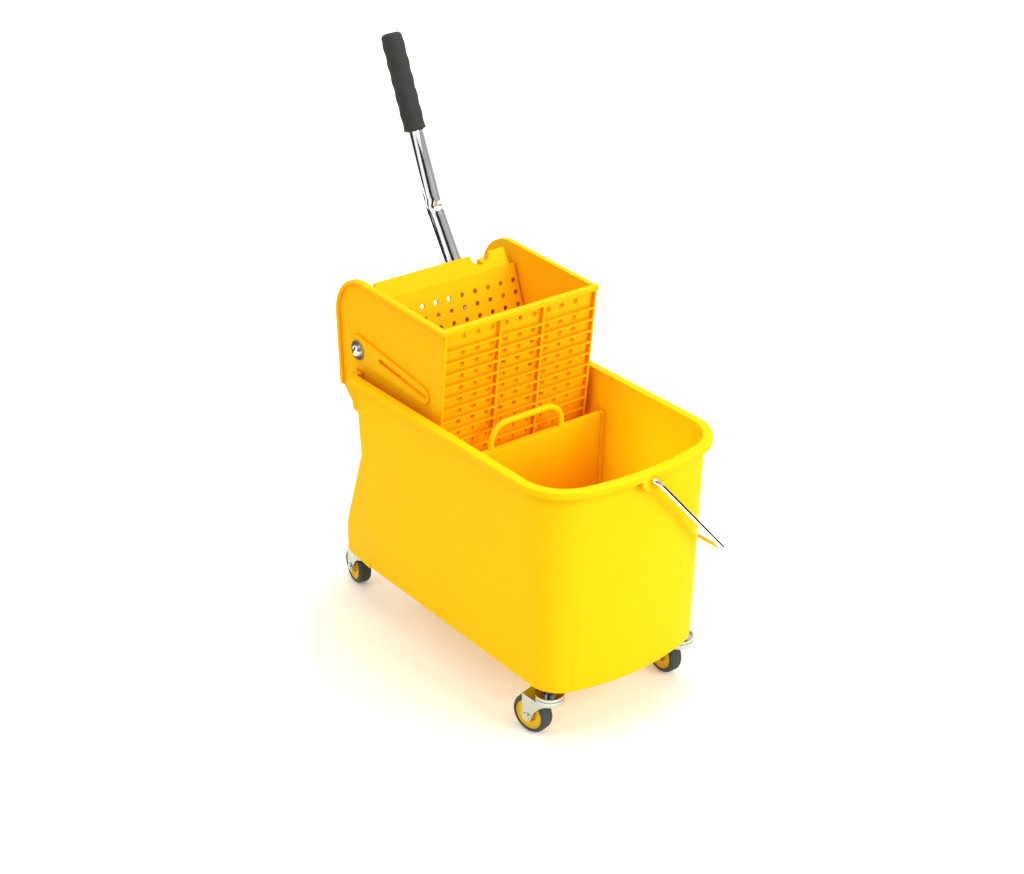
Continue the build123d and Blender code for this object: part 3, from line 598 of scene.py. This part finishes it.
# %% [markdown]
# ## Crimp and neck
#
# The lever is a chromed tube that was bent cold without a mandrel, so its wall gave way on the inside of
# the bend: a dent with a small wrinkle above and below it. Its foot is swaged, which means squeezed down
# to a neck that fits the socket. A curve with a bevel would look machined, so this tube is built ring by
# ring along its line: the neck sets each ring's radius, and each ring near the bend is pushed in or out.

# %% Crimp and neck
TUBE_RADIUS = 0.011
NECK_RADIUS = 0.0095
NECK_END = 0.066
SHOULDER_END = 0.072
DENT = 0.0019
DENT_REACH = 0.0035
WRINKLE = 0.0007
WRINKLE_PLACE = 0.0085
WRINKLE_REACH = 0.0028
BULGE = 0.0006
BULGE_REACH = 0.006
RING = 48


def hump(reach, width):
    """Smooth hump of height one over a distance of nought."""
    return exp(-((reach / width) ** 2))


def crimp(reach, turn):
    """How far the wall stands in or out, by distance from the bend and by turn from its inner side."""
    inner = max(cos(turn), 0) ** 2
    dent = -DENT * hump(reach, DENT_REACH)
    folds = sum(hump(reach - side * WRINKLE_PLACE, WRINKLE_REACH) for side in (-1, 1))
    bulge = BULGE * hump(reach, BULGE_REACH) * sin(turn) ** 4
    return inner * (dent + WRINKLE * folds) + bulge


def swage(reach):
    """Radius of the tube at a distance from its bend: its foot is drawn down to a neck."""
    share = min(max((reach + LOWER_RUN - NECK_END) / (SHOULDER_END - NECK_END), 0), 1)
    return NECK_RADIUS + (TUBE_RADIUS - NECK_RADIUS) * share * share * (3 - 2 * share)


def tube_ring(reach, radius):
    """Points round the tube at a distance from its bend."""
    centre, along = tube_line(reach)
    front = Vector((along.z, 0, -along.x))
    points = []
    for k in range(RING):
        turn = 2 * pi * k / RING
        span = radius + crimp(reach, turn)
        points.append(centre + span * (cos(turn) * front + sin(turn) * Vector((0, 1, 0))))
    return points


print("wall at the dent in mm", round(1000 * crimp(0, 0), 2))

# %% [markdown]
# ## Lever tube
#
# Faces between each ring and the next make the wall. A modifier could thicken a single wall, but rings
# that go up the outside and come down the inside give the tube its thickness in one closed skin.

# %% Lever tube
LOWER_START = 0.014
UPPER_RUN = 0.219
TUBE_WALL = 0.0015
RING_STEP = 0.001
SHOULDER_RINGS = 7
BEND_RINGS = 20


def ring_skin(name, rings, capped):
    """Object with faces between each ring of points and the next, its ends capped or else joined up."""
    faces = []
    count = len(rings)
    for i in range(count - 1 if capped else count):
        j = (i + 1) % count
        for k in range(RING):
            n = (k + 1) % RING
            faces.append((i * RING + k, i * RING + n, j * RING + n, j * RING + k))
    if capped:
        faces.append(tuple(range(RING))[::-1])
        faces.append(tuple(range((count - 1) * RING, count * RING)))
    mesh = bpy.data.meshes.new(name)
    mesh.from_pydata([point for ring in rings for point in ring], [], faces)
    mesh.shade_smooth()
    mesh.update()
    skin = bpy.data.objects.new(name, mesh)
    scene.collection.objects.link(skin)
    return skin


shoulder = [NECK_END - LOWER_RUN + RING_STEP * k for k in range(SHOULDER_RINGS)]
near_bend = [RING_STEP * k for k in range(-BEND_RINGS, BEND_RINGS + 1)]
reaches = [LOWER_START - LOWER_RUN] + shoulder + near_bend + [UPPER_RUN]
tube_rings = [tube_ring(reach, swage(reach)) for reach in reaches]
tube_rings += [tube_ring(reach, swage(reach) - TUBE_WALL) for reach in reversed(reaches)]
crimped_tube = ring_skin("crimped_tube", tube_rings, False)
dress(crimped_tube, "chrome_plate")
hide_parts("lever_tube")
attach(crimped_tube, "lever")
print("tube rings", len(tube_rings))

# %% [markdown]
# ## Grip
#
# The grip is a sleeve of soft dipped rubber. Its finger waves are shallow and have no edges, and both
# ends are rounded over. A turned outline with a bevel could do it, but the grip has to follow the tube's
# own line, so it uses the same rings: down the bore, over the foot, up along a slow wave and into a
# quarter round at the top. The bore gives the sleeve a real thickness, and flat caps close its end and
# the grip's top.

# %% Grip
GRIP_FOOT = 0.1
GRIP_TOP = 0.2245
GRIP_RADIUS = 0.0139
GRIP_WAVE = 0.00045
GRIP_PITCH = 0.0215
GRIP_ROUND = 0.006
FOOT_ROUND = 0.0015
GRIP_STEPS = 96


def grip_radius(reach):
    """Outer radius of the grip at a distance from the bend."""
    radius = GRIP_RADIUS + GRIP_WAVE * cos(2 * pi * (reach - GRIP_FOOT) / GRIP_PITCH)
    for edge, end in ((FOOT_ROUND, reach - GRIP_FOOT), (GRIP_ROUND, GRIP_TOP - reach)):
        if end < edge:
            radius -= edge - (edge**2 - (edge - end) ** 2) ** 0.5
    return radius


shares = [(1 - cos(pi * k / GRIP_STEPS)) / 2 for k in range(GRIP_STEPS + 1)]
heights = [GRIP_FOOT + (GRIP_TOP - GRIP_FOOT) * share for share in shares]
grip_rings = [tube_ring(height, TUBE_RADIUS) for height in (UPPER_RUN, GRIP_FOOT)]
grip_rings += [tube_ring(height, grip_radius(height)) for height in heights]
soft_grip = ring_skin("soft_grip", grip_rings, True)
dress(soft_grip, "dipped_rubber")
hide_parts("lever_grip")
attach(soft_grip, "lever")
print("grip rings", len(grip_rings))
